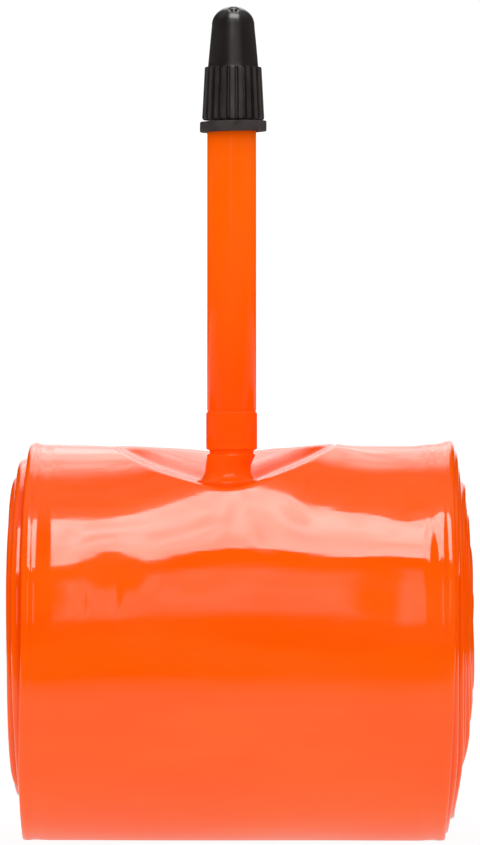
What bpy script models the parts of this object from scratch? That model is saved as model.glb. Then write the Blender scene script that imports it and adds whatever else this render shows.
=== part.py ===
"""A rolled-up bicycle inner tube with its long valve standing on top.

The tube is one endless flattened film tube, laid double and rolled up, so the roll is two
interleaved spiral runs that join in a fold at the core and in another at the tail.
Frame: +Z up, +X along the roll's axis, the valve on the top, a little to the -Y side.
The origin is under the middle of the roll, on the surface that it rests on.
"""
import math

import bmesh
import bpy

MM = 0.001

# The tube: two films lie on each other in a run, and two runs make one turn of the roll.
FILM_WALL = 0.25 * MM
RUN_THICKNESS = 2 * FILM_WALL
RUN_GAP = 0.46 * MM
RUN_STEP = RUN_THICKNESS + RUN_GAP
TURN_PITCH = 2 * RUN_STEP
RUN_HALF_WIDTH = 27.2 * MM
TURNS = 10.75
TAIL_RADIUS = 26.2 * MM          # outer face of the roll at its tail
TAIL_ANGLE = -60.0               # degrees from the top towards -Y, so the tail is behind the top
SIDE_DRIFT = 1.75 * MM           # how far the inner turns have slid out sideways
CORE_RADIUS = 4.0 * MM

# Angular steps, in degrees: coarse round the roll, fine where the valve dents it.
COARSE_STEP = 15.0
FINE_STEP = 7.5
FINE_FROM = -22.5
FINE_TO = 45.0
FOLD_STEPS = 4
ROUND_STEPS = 24                 # round the wide turned pieces
SMALL_ROUND_STEPS = 16           # round the narrow ones
DENT_ROUNDS = 30                 # rounds that find where a direction meets the dent

# Where the roll stands, and the flat that its weight presses into it.
ROLL_Y = 0.48 * MM
ROLL_Z = 23.95 * MM
FLAT_HALF_ANGLE = 15.0

# The valve and the flat seat that it presses into the roll.
VALVE_X = -0.85 * MM
VALVE_Y = -8.7 * MM
FILM_Z = 43.2 * MM
SEAT_HALF_LENGTH = 8.0 * MM      # along X, each side of the valve
SEAT_BACK = 6.5 * MM             # behind the valve
SEAT_SIDE_SLOPE = 0.6
SEAT_BACK_SLOPE = 0.45
DENT_REACH = 17.0 * MM           # where the seat's side slopes have left the film
DENT_COLUMNS = [VALVE_X + offset for offset in (-DENT_REACH, -SEAT_HALF_LENGTH, SEAT_HALF_LENGTH, DENT_REACH)]

# Heights above the resting surface.
FOOT_Z = 43.5 * MM
FLARE_TOP_Z = 48.7 * MM
SLEEVE_FOOT_Z = 49.4 * MM
SLEEVE_TOP_Z = 54.1 * MM
INSERT_SHELF_Z = 74.0 * MM
STEM_TOP_Z = 90.4 * MM
RING_Z = 89.35 * MM
PIN_Z = 74.6 * MM
INSERT_Z = 75.0 * MM
PIN_SEAL_Z = 75.6 * MM
CORE_Z = 77.0 * MM
CORE_COLLAR_Z = 90.7 * MM
CORE_TOP_Z = 97.5 * MM
CORE_SEAL_Z = 79.35 * MM
NUT_Z = 99.5 * MM
PIN_TOP_Z = 103.5 * MM
CAP_Z = 90.8 * MM
CAP_SKIRT_TOP_Z = 97.5 * MM
CAP_THREAD_TOP_Z = 98.0 * MM
CAP_NUT_ROOM_TOP_Z = 102.2 * MM
CAP_TIP_ROOM_TOP_Z = 103.9 * MM
CAP_TOP_Z = 105.2 * MM

# Radii and heights of the valve's pieces.
PATCH_RADIUS = 6.0 * MM
PATCH_THICKNESS = 0.4 * MM
FOOT_RADIUS = 4.2 * MM
STEM_RADIUS = 3.1 * MM
SLEEVE_RADIUS = 3.22 * MM
STEM_GROOVE_RADIUS = 2.85 * MM
SLEEVE_EDGE = 0.15 * MM
FOOT_EDGE = 0.5 * MM
AIR_BORE_RADIUS = 1.8 * MM
INSERT_BORE_RADIUS = 2.65 * MM
INSERT_RADIUS = 2.35 * MM
INSERT_THREAD_RADIUS = 2.0 * MM
INSERT_KEY_DEPTH = 0.15 * MM
CORE_RADIUS_LOW = 1.7 * MM
CORE_BORE_RADIUS = 0.95 * MM
CORE_COLLAR_RADIUS = 2.6 * MM
CORE_FLATS = 4.4 * MM            # across the two wrench flats
CORE_FLAT_HEIGHT = 2.3 * MM
CORE_SEAL_RADIUS = 1.9 * MM
CORE_SEAL_BORE = 1.35 * MM
CORE_SEAL_THICKNESS = 0.9 * MM
PIN_RADIUS = 0.7 * MM
PIN_TIP_EDGE = 0.35 * MM
PIN_FLANGE_RADIUS = 1.25 * MM
PIN_FLANGE_THICKNESS = 0.7 * MM
PIN_CLEARANCE = 0.25 * MM
PIN_SEAL_RADIUS = 1.5 * MM
PIN_SEAL_THICKNESS = 1.1 * MM
NUT_RADIUS = 1.95 * MM
NUT_COLLAR_RADIUS = 1.6 * MM
NUT_HEIGHT = 2.3 * MM
NUT_EDGE = 0.2 * MM
NUT_GRIP_BASE = 0.9 * MM
NUT_COLLAR_TOP = 0.6 * MM
RING_RADIUS = 4.2 * MM
RING_THICKNESS = 1.3 * MM
CAP_SKIRT_RADIUS = 3.92 * MM
CAP_SKIRT_TOP_RADIUS = 3.6 * MM
CAP_NECK_RADIUS = 3.1 * MM
CAP_SHOULDER_RADIUS = 2.62 * MM
CAP_DOME_HEIGHT = 2.6 * MM
CAP_OVERLAP = 1.0 * MM           # how far the cap's smooth part reaches into its skirt
CAP_THREAD_RADIUS = 2.95 * MM
CAP_NUT_ROOM_RADIUS = 2.2 * MM
CAP_TIP_ROOM_RADIUS = 1.1 * MM
CAP_BORE_STEP = 0.7 * MM

FIT_GAP = 0.3 * MM
RIB_COUNT = 22
RIB_DEPTH = 0.28 * MM
NUT_GROOVES = 10
NUT_GROOVE_RADIUS = 0.16 * MM

ORANGE = (1.0, 0.105, 0.004)
BLACK = (0.03, 0.028, 0.027)
BRASS = (0.55, 0.40, 0.16)
NICKEL = (0.60, 0.58, 0.54)


# ---------------------------------------------------------------- scene and materials

def clear_scene():
    for thing in list(bpy.data.objects):
        bpy.data.objects.remove(thing, do_unlink=True)


def new_collection(name):
    collection = bpy.data.collections.new(name)
    bpy.context.scene.collection.children.link(collection)
    return collection


def make_material(name, colour, roughness, metallic=0.0):
    material = bpy.data.materials.new(name)
    material.use_nodes = True
    shader = material.node_tree.nodes["Principled BSDF"]
    shader.inputs["Base Color"].default_value = (*colour, 1.0)
    shader.inputs["Roughness"].default_value = roughness
    shader.inputs["Metallic"].default_value = metallic
    material.diffuse_color = (*colour, 1.0)
    return material


def add_object(name, mesh, collection, material=None, parent=None, height=0.0):
    thing = bpy.data.objects.new(name, mesh)
    collection.objects.link(thing)
    if material:
        mesh.materials.append(material)
    thing.parent = parent
    thing.location = (0.0, 0.0, height)
    return thing


def mesh_from(shape, name):
    mesh = bpy.data.meshes.new(name)
    shape.to_mesh(mesh)
    shape.free()
    return mesh


def turned(name, profile, steps, collection, material=None, parent=None, height=0.0, ring=False):
    """Turn a profile of (radius, height) points, running down its outer side, about Z.

    A ring's profile is a closed outline; any other profile starts and ends on the axis.
    """
    shape = bmesh.new()
    points = [shape.verts.new((radius, 0.0, level)) for radius, level in profile]
    for first, second in zip(points, points[1:]):
        shape.edges.new((first, second))
    if ring:
        shape.edges.new((points[-1], points[0]))
    thing = add_object(name, mesh_from(shape, name), collection, material, parent, height)
    screw = thing.modifiers.new("Screw", "SCREW")
    screw.axis = "Z"
    screw.steps = steps
    screw.render_steps = steps
    screw.use_merge_vertices = True
    screw.merge_threshold = 0.001 * MM
    return thing


def boolean(target, cutter, operation):
    modifier = target.modifiers.new(cutter.name, "BOOLEAN")
    modifier.object = cutter
    modifier.operation = operation
    modifier.solver = "EXACT"
    cutter.hide_render = True
    cutter.display_type = "WIRE"


# ---------------------------------------------------------------- the rolled tube

def smooth(value):
    """Ease from 0 to 1 as value goes from 0 to 1."""
    value = min(1.0, max(0.0, value))
    return value * value * (3.0 - 2.0 * value)


def turned_by(winding):
    """Direction in degrees from the top towards -Y, in [-180, 180), at a winding angle."""
    return (winding + TAIL_ANGLE + 180.0) % 360.0 - 180.0


def direction_is_between(direction, low, high):
    """Whether a direction in radians lies between two angles in degrees, give or take rounding."""
    return (math.degrees(direction) - low + 0.01) % 360.0 <= high - low + 0.02


def winding_angles():
    """Winding angles in degrees, from the tail inwards, finer where the valve dents the roll."""
    angles = []
    for step in range(int(round(TURNS * 360.0 / FINE_STEP)) + 1):
        winding = step * FINE_STEP
        direction = turned_by(winding)
        if winding % COARSE_STEP == 0.0 or FINE_FROM <= direction <= FINE_TO:
            angles.append(winding)
    return angles


def dent_height(x, y):
    """Height over the roll's axis of the hollow that the valve's foot presses into the film."""
    beside = max(0.0, abs(x - VALVE_X) - SEAT_HALF_LENGTH)
    behind = max(0.0, y - VALVE_Y - SEAT_BACK)
    return FILM_Z - ROLL_Z + max(SEAT_SIDE_SLOPE * beside, SEAT_BACK_SLOPE * behind)


def pressed_middle(x, direction, free_radius):
    """Radius of the outermost run's middle once the valve and the ground have pressed it.

    The direction is in radians from the top towards -Y.
    """
    free_middle = free_radius - RUN_THICKNESS / 2
    up = math.cos(direction)
    if direction_is_between(direction, FINE_FROM, FINE_TO):
        pressed = free_radius
        for _ in range(DENT_ROUNDS):
            pressed = dent_height(x, ROLL_Y - pressed * math.sin(direction)) / up
        return min(free_middle, pressed - RUN_THICKNESS / 2)
    if direction_is_between(direction, 180.0 - FLAT_HALF_ANGLE, 180.0 + FLAT_HALF_ANGLE):
        return (ROLL_Z - RUN_THICKNESS / 2) / -up
    return free_middle


def run_point(x, winding, inset):
    """Middle of a run at a winding angle, inset from the outermost run's middle."""
    direction = math.radians(winding + TAIL_ANGLE)
    free_radius = TAIL_RADIUS - TURN_PITCH * (winding % 360.0) / 360.0
    radius = TAIL_RADIUS - RUN_THICKNESS / 2 - TURN_PITCH * winding / 360.0 - inset
    free_middle = free_radius - RUN_THICKNESS / 2
    share = (radius - CORE_RADIUS) / (free_middle - CORE_RADIUS)
    radius -= (free_middle - pressed_middle(x, direction, free_radius)) * share
    return (x, ROLL_Y - radius * math.sin(direction), ROLL_Z + radius * math.cos(direction))


def run_edges(winding, side):
    """Lowest and highest X of a run: the two runs slide out to opposite sides in the inner turns."""
    turn = winding / 360.0
    drift = side * SIDE_DRIFT * smooth((turn - 0.3) / 3.0) * smooth((TURNS - turn) / 1.0)
    return drift - RUN_HALF_WIDTH, drift + RUN_HALF_WIDTH


def run_rows(inset, side):
    """Rows of points across a run, from the tail to the core."""
    rows = []
    for winding in winding_angles():
        low, high = run_edges(winding, side)
        columns = DENT_COLUMNS if FINE_FROM <= turned_by(winding) <= FINE_TO else []
        rows.append([run_point(x, winding, inset) for x in [low, *columns, high]])
    return rows


def fold_rows(winding, outwards):
    """Rows round the fold that joins the two runs, bulging past the end of both."""
    rows = []
    direction = math.radians(winding + TAIL_ANGLE)
    along = (-math.cos(direction) * outwards, -math.sin(direction) * outwards)
    for step in range(1, FOLD_STEPS):
        turn = math.pi * step / FOLD_STEPS
        inset = RUN_STEP / 2 * (1.0 - math.cos(turn))
        bulge = RUN_STEP / 2 * math.sin(turn)
        row = []
        for x in run_edges(winding, 0.0):
            _, y, z = run_point(x, winding, inset)
            row.append((x, y + along[0] * bulge, z + along[1] * bulge))
        rows.append(row)
    return rows


def join_rows(shape, first, second, inwards):
    """Triangles between two rows, which may have different numbers of points.

    Every run splits its squares along the same diagonal, so that warped squares stay parallel.
    """
    if len(first) == len(second):
        for left in range(len(first) - 1):
            corners = [first[left], first[left + 1], second[left + 1], second[left]]
            if not inwards:
                corners = corners[1:] + corners[:1]
            shape.faces.new((corners[0], corners[1], corners[2]))
            shape.faces.new((corners[0], corners[2], corners[3]))
        return
    short, long = sorted((first, second), key=len)
    middle = len(long) // 2
    faces = [(short[0], long[left + 1], long[left]) for left in range(middle)]
    faces.append((short[0], short[1], long[middle]))
    faces += [(short[1], long[left + 1], long[left]) for left in range(middle, len(long) - 1)]
    for face in faces:
        shape.faces.new(face if short is first else tuple(reversed(face)))


def rolled_tube(collection, material):
    outer = run_rows(0.0, -1.0)
    inner = run_rows(RUN_STEP, 1.0)
    core = fold_rows(TURNS * 360.0, 1.0)
    tail = fold_rows(0.0, -1.0)
    path = outer + core + list(reversed(inner)) + list(reversed(tail))
    shape = bmesh.new()
    rows = [[shape.verts.new(point) for point in row] for row in path]
    for index, first in enumerate(rows):
        join_rows(shape, first, rows[(index + 1) % len(rows)], index < len(outer))
    thing = add_object("rolled_tube", mesh_from(shape, "rolled_tube"), collection, material)
    thing.data.shade_smooth()
    wall = thing.modifiers.new("Run thickness", "SOLIDIFY")
    wall.thickness = RUN_THICKNESS
    wall.offset = 0.0
    wall.use_even_offset = True
    return thing


# ---------------------------------------------------------------- the valve's pieces

def washer(outer, inner, thickness):
    """Outline of a flat ring standing on its own base."""
    return [(outer, thickness), (outer, 0.0), (inner, 0.0), (inner, thickness)]


def stem_profile():
    """Outline of the stem above its foot: flared foot, groove, sleeve, shaft, and the bore inside."""
    flare_top = FLARE_TOP_Z - FOOT_Z
    sleeve_foot = SLEEVE_FOOT_Z - FOOT_Z
    sleeve_top = SLEEVE_TOP_Z - FOOT_Z
    flare_steps = 5
    points = [(INSERT_BORE_RADIUS, STEM_TOP_Z - FOOT_Z), (STEM_RADIUS, STEM_TOP_Z - FOOT_Z)]
    points += [(STEM_RADIUS, sleeve_top), (SLEEVE_RADIUS, sleeve_top - SLEEVE_EDGE)]
    points += [(SLEEVE_RADIUS, sleeve_foot), (STEM_GROOVE_RADIUS, sleeve_foot - SLEEVE_EDGE)]
    points += [(STEM_GROOVE_RADIUS, flare_top + SLEEVE_EDGE)]
    for step in range(flare_steps + 1):
        share = step / flare_steps
        radius = STEM_RADIUS + (FOOT_RADIUS - STEM_RADIUS) * share * share
        points.append((radius, FOOT_EDGE + (flare_top - FOOT_EDGE) * (1.0 - share)))
    points += [(FOOT_RADIUS, 0.0), (AIR_BORE_RADIUS, 0.0)]
    points += [(AIR_BORE_RADIUS, INSERT_SHELF_Z - FOOT_Z), (INSERT_BORE_RADIUS, INSERT_SHELF_Z - FOOT_Z)]
    return points


def insert_profile():
    """Outline of the threaded insert, with two shallow grooves that key it into the stem."""
    length = STEM_TOP_Z - FIT_GAP - INSERT_Z
    groove = INSERT_KEY_DEPTH
    points = [(INSERT_THREAD_RADIUS, length), (INSERT_RADIUS, length)]
    for share in (0.66, 0.33):
        points += [(INSERT_RADIUS, length * share), (INSERT_RADIUS - groove, length * share - groove)]
        points += [(INSERT_RADIUS - groove, length * share - 6 * groove)]
        points += [(INSERT_RADIUS, length * share - 7 * groove)]
    points += [(INSERT_RADIUS, 0.0), (INSERT_THREAD_RADIUS, 0.0)]
    return points


def thread_points(radius, depth, top, bottom, ridges):
    """Points down a row of ridges that stand in for a thread."""
    points = []
    pitch = (top - bottom) / ridges
    for ridge in range(ridges):
        level = top - ridge * pitch
        points += [(radius - depth, level), (radius, level - 0.35 * pitch)]
        points += [(radius, level - 0.65 * pitch)]
    points.append((radius - depth, bottom))
    return points


def core_profile():
    """Outline of the core: collar with the cap's thread, thin neck, and the groove for its seal."""
    top = CORE_TOP_Z - CORE_Z
    collar = CORE_COLLAR_Z - CORE_Z
    groove_top = 3.4 * MM
    groove_bottom = 2.2 * MM
    groove_radius = 1.3 * MM
    points = [(CORE_BORE_RADIUS, top), (CORE_COLLAR_RADIUS - 0.4 * MM, top)]
    points += thread_points(CORE_COLLAR_RADIUS, 0.15 * MM, top - 0.3 * MM, collar + 2.6 * MM, 4)
    points += [(CORE_COLLAR_RADIUS, collar + 2.3 * MM), (CORE_COLLAR_RADIUS, collar)]
    points += thread_points(CORE_RADIUS_LOW, 0.12 * MM, collar, 8.0 * MM, 4)
    points += [(CORE_RADIUS_LOW, 7.6 * MM), (CORE_RADIUS_LOW, groove_top)]
    points += [(groove_radius, groove_top), (groove_radius, groove_bottom)]
    points += [(CORE_RADIUS_LOW, groove_bottom), (CORE_RADIUS_LOW, 0.6 * MM)]
    points += [(CORE_RADIUS_LOW - 0.3 * MM, 0.0), (CORE_BORE_RADIUS, 0.0)]
    return points


def core_body(parts, cutters, material, valve):
    body = turned("core_body", core_profile(), 20, parts, material, valve, CORE_Z, ring=True)
    for side in (-1.0, 1.0):
        shape = bmesh.new()
        bmesh.ops.create_cube(shape, size=1.0)
        depth = CORE_COLLAR_RADIUS
        bmesh.ops.scale(shape, vec=(2.4 * depth, depth, CORE_FLAT_HEIGHT), verts=shape.verts)
        flat = add_object("flat_cutter", mesh_from(shape, "flat_cutter"), cutters, None, valve)
        level = CORE_COLLAR_Z + CORE_FLAT_HEIGHT / 2
        flat.location = (0.0, side * (CORE_FLATS / 2 + depth / 2), level)
        boolean(body, flat, "DIFFERENCE")
    return body


def pin_profile():
    """Outline of the pin: a rounded tip, a plain shaft and the flange that backs its seal."""
    top = PIN_TOP_Z - PIN_Z
    points = [(0.0, top), (0.6 * PIN_RADIUS, top), (PIN_RADIUS, top - PIN_TIP_EDGE)]
    points += [(PIN_RADIUS, PIN_FLANGE_THICKNESS), (PIN_FLANGE_RADIUS, PIN_FLANGE_THICKNESS)]
    points += [(PIN_FLANGE_RADIUS, 0.0), (0.0, 0.0)]
    return points


def nut_profile():
    """Outline of the lock nut: a wide grip over a narrower collar."""
    bore = PIN_RADIUS + PIN_CLEARANCE
    points = [(bore, NUT_HEIGHT), (NUT_RADIUS - NUT_EDGE, NUT_HEIGHT), (NUT_RADIUS, NUT_HEIGHT - NUT_EDGE)]
    points += [(NUT_RADIUS, NUT_GRIP_BASE), (NUT_COLLAR_RADIUS, NUT_COLLAR_TOP)]
    points += [(NUT_COLLAR_RADIUS, 0.0), (bore, 0.0)]
    return points


def lock_nut(parts, cutters, material, valve):
    nut = turned("lock_nut", nut_profile(), 20, parts, material, valve, NUT_Z, ring=True)
    shape = bmesh.new()
    for groove in range(NUT_GROOVES):
        angle = 2.0 * math.pi * (groove + 0.25) / NUT_GROOVES
        made = bmesh.ops.create_cone(shape, cap_ends=True, segments=6, radius1=NUT_GROOVE_RADIUS,
                                     radius2=NUT_GROOVE_RADIUS, depth=2 * NUT_HEIGHT)
        offset = (NUT_RADIUS * math.cos(angle), NUT_RADIUS * math.sin(angle), 0.0)
        bmesh.ops.translate(shape, vec=offset, verts=made["verts"])
    cutter = add_object("nut_grooves", mesh_from(shape, "nut_grooves"), cutters, None, valve,
                        NUT_Z + NUT_HEIGHT / 2)
    boolean(nut, cutter, "DIFFERENCE")
    return nut


def ribbed_skirt(cutters, valve):
    """The cap's ribbed skirt: a tapered drum whose every second column is drawn in."""
    height = CAP_SKIRT_TOP_Z - CAP_Z
    shape = bmesh.new()
    bmesh.ops.create_cone(shape, cap_ends=True, segments=2 * RIB_COUNT, radius1=CAP_SKIRT_RADIUS,
                          radius2=CAP_SKIRT_TOP_RADIUS, depth=height)
    for vert in shape.verts:
        column = round(math.atan2(vert.co.y, vert.co.x) * RIB_COUNT / math.pi)
        if column % 2:
            radius = math.hypot(vert.co.x, vert.co.y)
            vert.co.x *= (radius - RIB_DEPTH) / radius
            vert.co.y *= (radius - RIB_DEPTH) / radius
    bmesh.ops.translate(shape, vec=(0.0, 0.0, height / 2), verts=shape.verts)
    return add_object("cap_skirt", mesh_from(shape, "cap_skirt"), cutters, None, valve, CAP_Z)


def cap_outer_profile():
    """Outline of the cap's smooth part: a domed tip over a slow taper."""
    dome_level = CAP_TOP_Z - CAP_DOME_HEIGHT - CAP_Z
    dome_steps = 6
    points = []
    for step in range(dome_steps + 1):
        angle = math.pi / 2 * step / dome_steps
        points.append((CAP_SHOULDER_RADIUS * math.sin(angle), dome_level + CAP_DOME_HEIGHT * math.cos(angle)))
    base = CAP_SKIRT_TOP_Z - CAP_OVERLAP - CAP_Z
    points += [(CAP_NECK_RADIUS, CAP_SKIRT_TOP_Z - CAP_Z), (CAP_NECK_RADIUS, base), (0.0, base)]
    return points


def cap_bore_profile():
    """Outline of the cap's bore: thread at the mouth, then room for the nut and the pin's tip."""
    tip_room_top = CAP_TIP_ROOM_TOP_Z - CAP_Z
    nut_room_top = CAP_NUT_ROOM_TOP_Z - CAP_Z
    thread_top = CAP_THREAD_TOP_Z - CAP_Z
    below = -CAP_OVERLAP
    points = [(0.0, tip_room_top), (CAP_TIP_ROOM_RADIUS, tip_room_top), (CAP_NUT_ROOM_RADIUS, nut_room_top)]
    points += [(CAP_NUT_ROOM_RADIUS, thread_top + CAP_BORE_STEP), (CAP_THREAD_RADIUS, thread_top)]
    points += [(CAP_THREAD_RADIUS, below), (0.0, below)]
    return points


def dust_cap(parts, cutters, material, valve):
    cap = turned("dust_cap", cap_outer_profile(), RIB_COUNT, parts, material, valve, CAP_Z)
    boolean(cap, ribbed_skirt(cutters, valve), "UNION")
    bore = turned("cap_bore", cap_bore_profile(), RIB_COUNT, cutters, None, valve, CAP_Z)
    boolean(cap, bore, "DIFFERENCE")
    return cap


def small_rings(parts, materials, valve):
    """The flat rings: patch, seals and the ring at the top of the stem."""
    patch_bore = FOOT_RADIUS + FIT_GAP
    pin_seal_bore = PIN_RADIUS + PIN_CLEARANCE
    ring_bore = STEM_RADIUS + FIT_GAP
    small = SMALL_ROUND_STEPS
    rings = [
        ("valve_patch", PATCH_RADIUS, patch_bore, PATCH_THICKNESS, FOOT_Z, ROUND_STEPS, "film"),
        ("core_seal", CORE_SEAL_RADIUS, CORE_SEAL_BORE, CORE_SEAL_THICKNESS, CORE_SEAL_Z, small, "seal"),
        ("pin_seal", PIN_SEAL_RADIUS, pin_seal_bore, PIN_SEAL_THICKNESS, PIN_SEAL_Z, small, "seal"),
        ("stem_ring", RING_RADIUS, ring_bore, RING_THICKNESS, RING_Z, ROUND_STEPS, "ring"),
    ]
    for name, outer, inner, thickness, height, steps, material in rings:
        outline = washer(outer, inner, thickness)
        turned(name, outline, steps, parts, materials[material], valve, height, ring=True)


def build():
    clear_scene()
    parts = new_collection("inner_tube")
    cutters = new_collection("cutters")
    materials = {
        "film": make_material("orange_film", ORANGE, 0.12),
        "stem": make_material("orange_stem", ORANGE, 0.45),
        "cap": make_material("black_cap", BLACK, 0.4),
        "ring": make_material("black_ring", BLACK, 0.6),
        "seal": make_material("seal_rubber", BLACK, 0.8),
        "insert": make_material("brass", BRASS, 0.3, 1.0),
        "core": make_material("nickel", NICKEL, 0.25, 1.0),
    }
    valve = bpy.data.objects.new("valve_axis", None)
    parts.objects.link(valve)
    valve.location = (VALVE_X, VALVE_Y, 0.0)
    rolled_tube(parts, materials["film"])
    turned("valve_stem", stem_profile(), ROUND_STEPS, parts, materials["stem"], valve, FOOT_Z, ring=True)
    turned("stem_insert", insert_profile(), SMALL_ROUND_STEPS, parts, materials["insert"], valve, INSERT_Z,
           ring=True)
    core_body(parts, cutters, materials["core"], valve)
    turned("valve_pin", pin_profile(), 12, parts, materials["core"], valve, PIN_Z)
    lock_nut(parts, cutters, materials["core"], valve)
    dust_cap(parts, cutters, materials["cap"], valve)
    small_rings(parts, materials, valve)


build()
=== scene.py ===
"""The look of the rolled inner tube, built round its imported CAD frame."""

import math

import bpy
import numpy as np
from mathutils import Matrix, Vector


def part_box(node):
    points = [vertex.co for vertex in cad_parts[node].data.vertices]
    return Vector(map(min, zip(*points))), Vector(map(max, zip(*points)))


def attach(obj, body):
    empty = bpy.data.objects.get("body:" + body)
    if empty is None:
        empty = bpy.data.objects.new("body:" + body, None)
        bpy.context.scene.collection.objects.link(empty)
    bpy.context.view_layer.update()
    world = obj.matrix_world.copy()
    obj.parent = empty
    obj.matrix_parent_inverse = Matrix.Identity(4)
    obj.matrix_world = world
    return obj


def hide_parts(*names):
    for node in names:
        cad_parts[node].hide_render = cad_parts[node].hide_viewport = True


MM = 0.001

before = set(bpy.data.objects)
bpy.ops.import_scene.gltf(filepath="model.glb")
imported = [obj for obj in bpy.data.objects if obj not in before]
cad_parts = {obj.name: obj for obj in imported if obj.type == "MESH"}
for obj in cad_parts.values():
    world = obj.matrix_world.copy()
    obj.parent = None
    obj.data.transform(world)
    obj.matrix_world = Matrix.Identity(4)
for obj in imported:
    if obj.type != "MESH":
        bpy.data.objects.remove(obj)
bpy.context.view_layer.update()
STEM_LOW, STEM_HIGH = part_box("valve_stem")
CAP_LOW, CAP_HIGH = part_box("dust_cap")
RING_LOW, RING_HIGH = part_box("stem_ring")

# The valve's axis, and the roll's axis: the roll stands on a small flat, so its axis is a little
# lower than half of its width.
VALVE_X = (STEM_LOW.x + STEM_HIGH.x) / 2
VALVE_Y = (STEM_LOW.y + STEM_HIGH.y) / 2
ROLL_Y = 0.48 * MM
ROLL_Z = 23.95 * MM

# The doubled, rolled tube.
TAIL_RADIUS = 26.2 * MM
TAIL_ANGLE = -60.0
RUN_STEP = 0.96 * MM
TURN_PITCH = 2 * RUN_STEP
TURNS = 10.75
CORE_RADIUS = 4.0 * MM
HALF_WIDTH = 26.95 * MM
HALF_WALL = 0.25 * MM
BEAD_REACH = 0.8 * MM
BEAD_HALF_HEIGHT = 0.42 * MM
BEAD_FADE = 0.7 * MM
PUFF_REACH = 2.2 * MM
PUFF_HEIGHT = 0.2 * MM
PUFF_STEPS = 7
PUFF_FADE = 25.0                 # degrees of winding over which the tail's fold opens
CREST_WIDTH = 0.45 * MM

# Steps in degrees of winding: finest where the valve dents the roll, fine all round the outer turn.
FINE_END = 400.0
DENT_FROM = 28.0
DENT_TO = 130.0
DENT_STEP = 0.75
FINE_STEP = 2.0
COARSE_STEP = 5.0
FINE_COLUMNS = 170
COARSE_COLUMNS = 6
FOLD_STEPS = 10


# ---------------------------------------------------------------- small helpers

def smooth(value):
    """Ease from 0 to 1 as value goes from 0 to 1."""
    value = np.clip(value, 0.0, 1.0)
    return value * value * (3.0 - 2.0 * value)


def soft_min(first, second, width):
    """The lower of two surfaces, rounded where they cross."""
    share = np.clip(width - np.abs(first - second), 0.0, None) / width
    return np.minimum(first, second) - share * share * width / 4.0


def soft_positive(value, width):
    """Zero below 0 and value above it, rounded over width."""
    return 0.5 * (value + np.sqrt(value * value + width * width))


def add_mesh(name, points, faces, material, sharp_angle=None):
    mesh = bpy.data.meshes.new(name)
    mesh.from_pydata([tuple(point) for point in points], [], faces)
    mesh.validate()
    piece = bpy.data.objects.new(name, mesh)
    bpy.context.scene.collection.objects.link(piece)
    mesh.materials.append(material)
    mesh.shade_smooth()
    if sharp_angle is not None:
        mesh.set_sharp_from_angle(angle=math.radians(sharp_angle))
    return piece


def stands_for(piece, body, slot, *nodes):
    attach(piece, body)
    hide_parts(*nodes)
    return piece


# ---------------------------------------------------------------- the roll's shape

def free_radius(direction):
    """Outer radius of the undented roll towards a direction, in degrees from the top towards -Y."""
    winding = (direction - TAIL_ANGLE) % 360.0
    return TAIL_RADIUS - TURN_PITCH * winding / 360.0


# The hollow that the valve's foot has pressed into the roll, in mm: the height of its front crest
# and where across the roll that is lowest, the notch and the dish under the foot, and the wall
# behind.
CREST_HEIGHT = 45.15
CREST_LOWEST_X = -2.0
CREST_CURVE = 0.0225
NOTCH_DEPTH = 0.75
NOTCH_REACH = 4.0
DISH_DEPTH = 0.6
DISH_REACH = 5.0
WALL_START = 5.5
WALL_ROUNDING = 1.2
WALL_SLOPE = 0.28
WALL_RISE = 1.5
WALL_REACH = 2.0


def dent_height(x, y):
    """Height over the roll's axis of the hollow round the valve's foot."""
    beside = x / MM - CREST_LOWEST_X
    from_valve = np.hypot(x - VALVE_X, y - VALVE_Y) / MM
    crest = CREST_HEIGHT + CREST_CURVE * beside * beside
    crest -= NOTCH_DEPTH * np.exp(-((x - VALVE_X) / (NOTCH_REACH * MM)) ** 2)
    dish = DISH_DEPTH * np.exp(-(from_valve / DISH_REACH) ** 2)
    behind = soft_positive((y - VALVE_Y) / MM - WALL_START, WALL_ROUNDING)
    wall = WALL_SLOPE * behind + WALL_RISE * (1.0 - np.exp(-behind / WALL_REACH))
    return (crest - dish + wall) * MM - ROLL_Z


# The loose outer turn bulges in front of the valve: middle (mm across, degrees from the top towards
# -Y), half-widths (mm, degrees) and height in mm.
FRONT_BULGE = (1.0, 8.0, 12.0, 36.0, 3.7)

# Its smaller hills and hollows, in the same terms.
FILM_HILLS = [
    (18.0, 34.0, 7.0, 30.0, 0.25),
    (9.0, 40.0, 1.7, 9.0, -0.13),
    (13.5, 41.0, 4.0, 10.0, -0.1),
    (20.6, 42.0, 2.6, 9.0, -0.18),
    (20.6, 74.0, 4.5, 9.0, -0.2),
    (24.0, 18.0, 5.0, 14.0, 0.4),
    (-15.6, 66.0, 3.1, 7.6, -0.25),
    (-10.2, 67.0, 2.6, 8.0, 0.08),
    (-19.0, 72.5, 0.6, 7.0, -0.045),
    (-14.9, 72.5, 0.6, 7.0, -0.045),
    (-16.8, 42.0, 3.0, 9.0, -0.06),
    (-22.0, 5.0, 5.0, 22.0, 0.2),
    (11.5, 0.0, 5.0, 24.0, -0.35),
    (-13.0, 0.0, 4.0, 24.0, -0.15),
    (-27.0, 58.0, 6.0, 32.0, -0.45),
    (-26.2, 0.0, 2.4, 34.0, 0.45),
    (26.4, 0.0, 2.4, 34.0, 0.7),
    (25.7, 36.0, 0.6, 18.0, 0.15),
    (25.55, 65.0, 1.1, 13.0, -0.26),
]
SAG = 0.33                       # mm that the film sags between its stiffer edges on top
SAG_HALF_ANGLE = 36.0

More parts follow.
